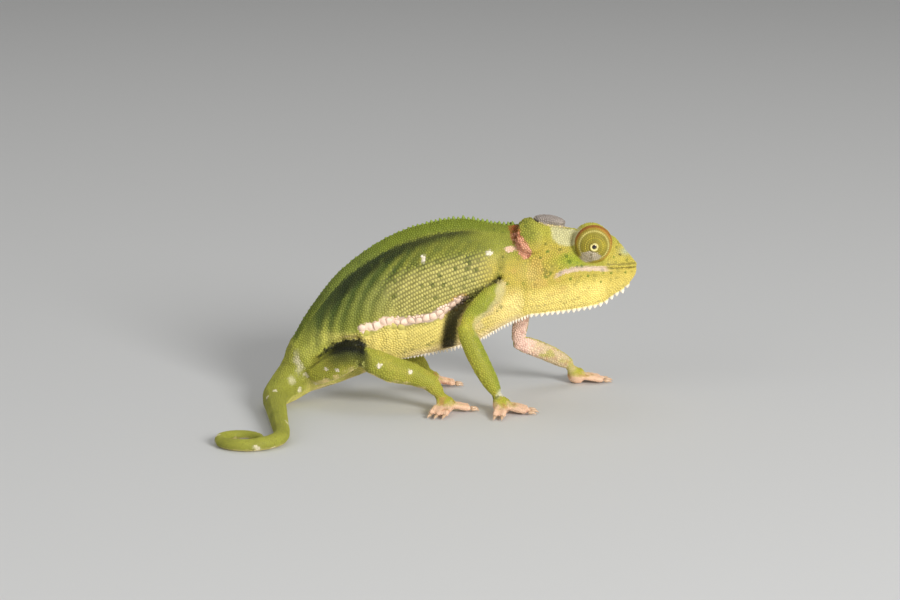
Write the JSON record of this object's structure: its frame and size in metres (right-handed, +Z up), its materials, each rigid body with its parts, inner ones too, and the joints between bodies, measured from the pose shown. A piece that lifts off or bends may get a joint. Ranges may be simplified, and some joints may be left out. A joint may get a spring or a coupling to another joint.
{
  "type": "flap-necked chameleon",
  "caption": "Life-size still model of a young green chameleon with a low casque, neck flaps, throat crest, grasping feet and a tail curled on the floor.",
  "frame": {"origin": "middle of the footprint of the whole model, on the floor", "axes": "+X to the snout, +Z up, the animal's right side faces -Y"},
  "size_m": [0.0818, 0.0618, 0.0379],
  "materials": {
    "flank_skin": "matt, beaded with small scales",
    "limb_skin": "matt, beaded with small scales",
    "throat_skin": "matt, beaded with small scales",
    "toe_skin": "matt, finely scaled",
    "eye": "wet gloss",
    "claw": "smooth horn"
  },
  "bodies": {
    "root": {"head": "flank_skin", "lower_jaw": "throat_skin", "right_eye_turret": "flank_skin", "right_eye": "eye", "right_occipital_lobe": "flank_skin", "left_eye_turret": "flank_skin", "left_eye": "eye", "left_occipital_lobe": "flank_skin", "neck": "flank_skin", "chest": "flank_skin", "trunk_front": "flank_skin", "trunk_rear": "flank_skin", "pelvis": "flank_skin", "tail_1": "limb_skin", "tail_2": "limb_skin", "tail_3": "limb_skin", "tail_4": "limb_skin", "tail_5": "limb_skin", "right_upper_arm": "limb_skin", "right_forearm": "limb_skin", "right_front_inner_toes": "toe_skin", "right_front_outer_toes": "toe_skin", "right_front_claw_1": "claw", "right_front_claw_2": "claw", "right_front_claw_3": "claw", "right_front_claw_4": "claw", "right_front_claw_5": "claw", "left_upper_arm": "limb_skin", "left_forearm": "limb_skin", "left_front_inner_toes": "toe_skin", "left_front_outer_toes": "toe_skin", "left_front_claw_1": "claw", "left_front_claw_2": "claw", "left_front_claw_3": "claw", "left_front_claw_4": "claw", "left_front_claw_5": "claw", "right_thigh": "limb_skin", "right_shin": "limb_skin", "right_hind_inner_toes": "toe_skin", "right_hind_outer_toes": "toe_skin", "right_hind_claw_1": "claw", "right_hind_claw_2": "claw", "right_hind_claw_3": "claw", "right_hind_claw_4": "claw", "right_hind_claw_5": "claw", "left_thigh": "limb_skin", "left_shin": "limb_skin", "left_hind_inner_toes": "toe_skin", "left_hind_outer_toes": "toe_skin", "left_hind_claw_1": "claw", "left_hind_claw_2": "claw", "left_hind_claw_3": "claw", "left_hind_claw_4": "claw", "left_hind_claw_5": "claw"}
  },
  "joints": []
}
